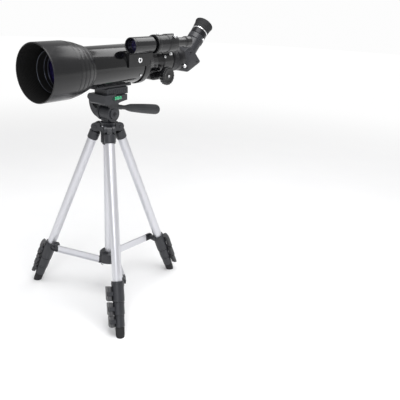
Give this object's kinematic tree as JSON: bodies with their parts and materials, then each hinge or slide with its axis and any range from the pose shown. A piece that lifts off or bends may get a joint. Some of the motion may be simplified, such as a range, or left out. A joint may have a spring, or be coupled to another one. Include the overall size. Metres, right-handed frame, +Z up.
{
  "type": "telescope on tripod",
  "caption": "Small refracting telescope with finder, star diagonal and eyepiece on a folding aluminium photo tripod with a pan-and-tilt head.",
  "frame": {"origin": "middle of the object's footprint on the floor", "axes": "+Z up; the telescope points along -Y, with its eyepiece towards +Y and its finder scope on the +X side"},
  "size_m": [0.3216, 0.4856, 0.5656],
  "materials": {
    "charcoal_plastic": "fine-grained charcoal moulded plastic",
    "grip_plastic": "soft-touch black plastic",
    "anodised_aluminium": "pale satin anodised",
    "black_rubber": "matte black rubber",
    "gloss_black_enamel": "gloss black paint",
    "gloss_black_plastic": "gloss black plastic",
    "satin_black_plastic": "satin black plastic",
    "black_anodised_aluminium": "satin black anodised",
    "coated_glass": "clear glass with a blue-violet coating",
    "bright_steel": "bright plated steel",
    "green_vial": "clear vial of green spirit"
  },
  "bodies": {
    "tripod_crown": {"crown": "charcoal_plastic", "guide_tube": "anodised_aluminium"},
    "column_clamp": {"column_knob": "charcoal_plastic"},
    "column": {"centre_column": "anodised_aluminium"},
    "leg_a_upper": {"leg_a_hinge": "charcoal_plastic", "leg_a_tube_1": "anodised_aluminium", "leg_a_lock_1": "charcoal_plastic"},
    "leg_a_lever_1": {"leg_a_lever_1": "charcoal_plastic"},
    "leg_a_second": {"leg_a_tube_2": "anodised_aluminium", "leg_a_lock_2": "charcoal_plastic"},
    "leg_a_lever_2": {"leg_a_lever_2": "charcoal_plastic"},
    "leg_a_third": {"leg_a_section_3": "charcoal_plastic"},
    "leg_a_lever_3": {"leg_a_lever_3": "charcoal_plastic"},
    "leg_a_foot": {"leg_a_foot_section": "black_rubber"},
    "leg_b_upper": {"leg_b_hinge": "charcoal_plastic", "leg_b_tube_1": "anodised_aluminium", "leg_b_lock_1": "charcoal_plastic"},
    "leg_b_lever_1": {"leg_b_lever_1": "charcoal_plastic"},
    "leg_b_second": {"leg_b_tube_2": "anodised_aluminium", "leg_b_lock_2": "charcoal_plastic"},
    "leg_b_lever_2": {"leg_b_lever_2": "charcoal_plastic"},
    "leg_b_third": {"leg_b_section_3": "charcoal_plastic"},
    "leg_b_lever_3": {"leg_b_lever_3": "charcoal_plastic"},
    "leg_b_foot": {"leg_b_foot_section": "black_rubber"},
    "leg_c_upper": {"leg_c_hinge": "charcoal_plastic", "leg_c_tube_1": "anodised_aluminium", "leg_c_lock_1": "charcoal_plastic"},
    "leg_c_lever_1": {"leg_c_lever_1": "charcoal_plastic"},
    "leg_c_second": {"leg_c_tube_2": "anodised_aluminium", "leg_c_lock_2": "charcoal_plastic"},
    "leg_c_lever_2": {"leg_c_lever_2": "charcoal_plastic"},
    "leg_c_third": {"leg_c_section_3": "charcoal_plastic"},
    "leg_c_lever_3": {"leg_c_lever_3": "charcoal_plastic"},
    "leg_c_foot": {"leg_c_foot_section": "black_rubber"},
    "hub": {"spreader_hub": "charcoal_plastic", "weight_hook": "bright_steel"},
    "arm_a": {"spreader_arm_a": "anodised_aluminium"},
    "arm_b": {"spreader_arm_b": "anodised_aluminium"},
    "arm_c": {"spreader_arm_c": "anodised_aluminium"},
    "pan_base": {"pan_base": "charcoal_plastic"},
    "tilt_frame": {"tilt_frame": "charcoal_plastic"},
    "pan_handle": {"pan_handle": "grip_plastic"},
    "flip_knob": {"flip_knob": "charcoal_plastic"},
    "platform": {"platform": "charcoal_plastic", "bubble_vial": "green_vial"},
    "release_lever": {"release_lever": "charcoal_plastic"},
    "telescope": {"quick_release_plate": "charcoal_plastic", "mount_foot": "charcoal_plastic", "main_tube": "gloss_black_enamel", "objective_cell": "satin_black_plastic", "objective_lens": "coated_glass", "focuser_housing": "satin_black_plastic", "finder_bracket": "satin_black_plastic", "finder_scope": "gloss_black_plastic"},
    "dew_shield": {"dew_shield": "satin_black_plastic"},
    "drawtube": {"drawtube": "black_anodised_aluminium"},
    "focus_shaft": {"focus_knobs": "charcoal_plastic"},
    "diagonal": {"star_diagonal": "satin_black_plastic"},
    "eyepiece": {"eyepiece": "satin_black_plastic", "eyecup": "black_rubber"}
  },
  "joints": [
    {"name": "column_clamp_turn", "type": "hinge", "parent": "tripod_crown", "child": "column_clamp", "pos_m": [0.01597, -0.07504, 0.342], "axis": [-0.7826, 0.6225, 0], "range_deg": [0, 360]},
    {"name": "column_lift", "type": "slide", "parent": "tripod_crown", "child": "column", "axis": [0, 0, 1], "range_m": [0, 0.18]},
    {"name": "leg_a_fold", "type": "hinge", "parent": "tripod_crown", "child": "leg_a_upper", "pos_m": [0.03397, -0.08935, 0.36456], "axis": [0.6225, 0.7826, 0], "range_deg": [0, 20]},
    {"name": "leg_a_extend_1", "type": "slide", "parent": "leg_a_upper", "child": "leg_a_second", "axis": [0.3013, -0.2396, -0.9229], "range_m": [0, 0.24]},
    {"name": "leg_a_extend_2", "type": "slide", "parent": "leg_a_second", "child": "leg_a_third", "axis": [0.3013, -0.2396, -0.9229], "range_m": [0, 0.235]},
    {"name": "leg_a_extend_3", "type": "slide", "parent": "leg_a_third", "child": "leg_a_foot", "axis": [0.3013, -0.2396, -0.9229], "range_m": [0, 0.23]},
    {"name": "leg_a_lever_1_flip", "type": "hinge", "parent": "leg_a_upper", "child": "leg_a_lever_1", "pos_m": [0.12186, -0.1801, 0.07822], "axis": [-0.3013, 0.2396, 0.9229], "range_deg": [0, 100]},
    {"name": "leg_a_lever_2_flip", "type": "hinge", "parent": "leg_a_second", "child": "leg_a_lever_2", "pos_m": [0.13131, -0.18621, 0.05136], "axis": [-0.3013, 0.2396, 0.9229], "range_deg": [0, 100]},
    {"name": "leg_a_lever_3_flip", "type": "hinge", "parent": "leg_a_third", "child": "leg_a_lever_3", "pos_m": [0.1392, -0.19095, 0.02949], "axis": [-0.3013, 0.2396, 0.9229], "range_deg": [0, 100]},
    {"name": "leg_b_fold", "type": "hinge", "parent": "tripod_crown", "child": "leg_b_upper", "pos_m": [-0.00543, -0.08347, 0.36456], "axis": [0.3665, -0.9304, 0], "range_deg": [0, 20]},
    {"name": "leg_b_extend_1", "type": "slide", "parent": "leg_b_upper", "child": "leg_b_second", "axis": [-0.3582, -0.1411, -0.9229], "range_m": [0, 0.24]},
    {"name": "leg_b_extend_2", "type": "slide", "parent": "leg_b_second", "child": "leg_b_third", "axis": [-0.3582, -0.1411, -0.9229], "range_m": [0, 0.235]},
    {"name": "leg_b_extend_3", "type": "slide", "parent": "leg_b_third", "child": "leg_b_foot", "axis": [-0.3582, -0.1411, -0.9229], "range_m": [0, 0.23]},
    {"name": "leg_b_lever_1_flip", "type": "hinge", "parent": "leg_b_upper", "child": "leg_b_lever_1", "pos_m": [-0.12937, -0.13809, 0.08242], "axis": [0.3582, 0.1411, 0.9229], "range_deg": [0, 100]},
    {"name": "leg_b_lever_2_flip", "type": "hinge", "parent": "leg_b_second", "child": "leg_b_lever_2", "pos_m": [-0.13885, -0.14183, 0.05514], "axis": [0.3582, 0.1411, 0.9229], "range_deg": [0, 100]},
    {"name": "leg_b_lever_3_flip", "type": "hinge", "parent": "leg_b_third", "child": "leg_b_lever_3", "pos_m": [-0.14631, -0.14476, 0.0328], "axis": [0.3582, 0.1411, 0.9229], "range_deg": [0, 100]},
    {"name": "leg_c_fold", "type": "hinge", "parent": "tripod_crown", "child": "leg_c_upper", "pos_m": [0.01937, -0.05229, 0.36456], "axis": [-0.989, 0.1478, 0], "range_deg": [0, 20]},
    {"name": "leg_c_extend_1", "type": "slide", "parent": "leg_c_upper", "child": "leg_c_second", "axis": [0.0569, 0.3807, -0.9229], "range_m": [0, 0.24]},
    {"name": "leg_c_extend_2", "type": "slide", "parent": "leg_c_second", "child": "leg_c_third", "axis": [0.0569, 0.3807, -0.9229], "range_m": [0, 0.235]},
    {"name": "leg_c_extend_3", "type": "slide", "parent": "leg_c_third", "child": "leg_c_foot", "axis": [0.0569, 0.3807, -0.9229], "range_m": [0, 0.23]},
    {"name": "leg_c_lever_1_flip", "type": "hinge", "parent": "leg_c_upper", "child": "leg_c_lever_1", "pos_m": [0.04288, 0.08152, 0.08262], "axis": [-0.0569, -0.3807, 0.9229], "range_deg": [0, 100]},
    {"name": "leg_c_lever_2_flip", "type": "hinge", "parent": "leg_c_second", "child": "leg_c_lever_2", "pos_m": [0.04386, 0.09181, 0.05539], "axis": [-0.0569, -0.3807, 0.9229], "range_deg": [0, 100]},
    {"name": "leg_c_lever_3_flip", "type": "hinge", "parent": "leg_c_third", "child": "leg_c_lever_3", "pos_m": [0.04447, 0.09997, 0.03312], "axis": [-0.0569, -0.3807, 0.9229], "range_deg": [0, 100]},
    {"name": "hub_slide", "type": "slide", "parent": "tripod_crown", "child": "hub", "axis": [0, 0, 1], "range_m": [0, 0.10727]},
    {"name": "arm_a_pivot", "type": "hinge", "parent": "hub", "child": "arm_a", "pos_m": [0.02144, -0.07939, 0.082], "axis": [0.6225, 0.7826, 0], "range_deg": [0, 86.8]},
    {"name": "arm_b_pivot", "type": "hinge", "parent": "hub", "child": "arm_b", "pos_m": [0.00945, -0.0776, 0.082], "axis": [0.3665, -0.9304, 0], "range_deg": [0, 86.8]},
    {"name": "arm_c_pivot", "type": "hinge", "parent": "hub", "child": "arm_c", "pos_m": [0.017, -0.06811, 0.082], "axis": [-0.989, 0.1478, 0], "range_deg": [0, 86.8]},
    {"name": "pan", "type": "hinge", "parent": "column", "child": "pan_base", "pos_m": [0.01597, -0.07504, 0.372], "axis": [0, 0, 1], "continuous": true},
    {"name": "tilt", "type": "hinge", "parent": "pan_base", "child": "tilt_frame", "pos_m": [0.01597, -0.07504, 0.393], "axis": [1, 0, 0], "range_deg": [-30, 60]},
    {"name": "handle_twist", "type": "hinge", "parent": "tilt_frame", "child": "pan_handle", "pos_m": [0.02597, -0.07504, 0.4065], "axis": [0, 0.9848, -0.1736], "range_deg": [0, 270]},
    {"name": "flip_knob_turn", "type": "hinge", "parent": "tilt_frame", "child": "flip_knob", "pos_m": [-0.02903, -0.07504, 0.4185], "axis": [-1, 0, 0], "range_deg": [0, 360]},
    {"name": "platform_flip", "type": "hinge", "parent": "tilt_frame", "child": "platform", "pos_m": [-0.01103, -0.07504, 0.4235], "axis": [0, -1, 0], "range_deg": [0, 90]},
    {"name": "release_swing", "type": "hinge", "parent": "platform", "child": "release_lever", "pos_m": [0.01597, -0.04754, 0.4235], "axis": [0, 0, 1], "range_deg": [0, 50]},
    {"name": "plate_lift", "type": "slide", "parent": "platform", "child": "telescope", "axis": [0, 0, 1], "range_m": [0, 0.02]},
    {"name": "dew_shield_pull", "type": "slide", "parent": "telescope", "child": "dew_shield", "axis": [0, -1, 0], "range_m": [0, 0.05]},
    {"name": "focus_slide", "type": "slide", "parent": "telescope", "child": "drawtube", "axis": [0, 1, 0], "range_m": [0, 0.05]},
    {"name": "focus_turn", "type": "hinge", "parent": "telescope", "child": "focus_shaft", "pos_m": [0.01597, 0.05496, 0.4567], "axis": [-1, 0, 0], "range_deg": [0, 480]},
    {"name": "diagonal_turn", "type": "hinge", "parent": "drawtube", "child": "diagonal", "pos_m": [0.01597, 0.12496, 0.4827], "axis": [0, 1, 0], "continuous": true},
    {"name": "eyepiece_pull", "type": "slide", "parent": "diagonal", "child": "eyepiece", "axis": [0, 0.7071, 0.7071], "range_m": [0, 0.03]}
  ],
  "couplings": [
    {"joint": "leg_b_fold", "follows": "leg_a_fold", "ratio": 1},
    {"joint": "leg_c_fold", "follows": "leg_a_fold", "ratio": 1},
    {"joint": "hub_slide", "follows": "leg_a_fold", "m_per_rad": 0.30701},
    {"joint": "arm_a_pivot", "follows": "leg_a_fold", "ratio": 4.3393},
    {"joint": "arm_b_pivot", "follows": "leg_a_fold", "ratio": 4.3393},
    {"joint": "arm_c_pivot", "follows": "leg_a_fold", "ratio": 4.3393},
    {"joint": "focus_turn", "follows": "focus_slide", "rad_per_m": 166.67}
  ]
}
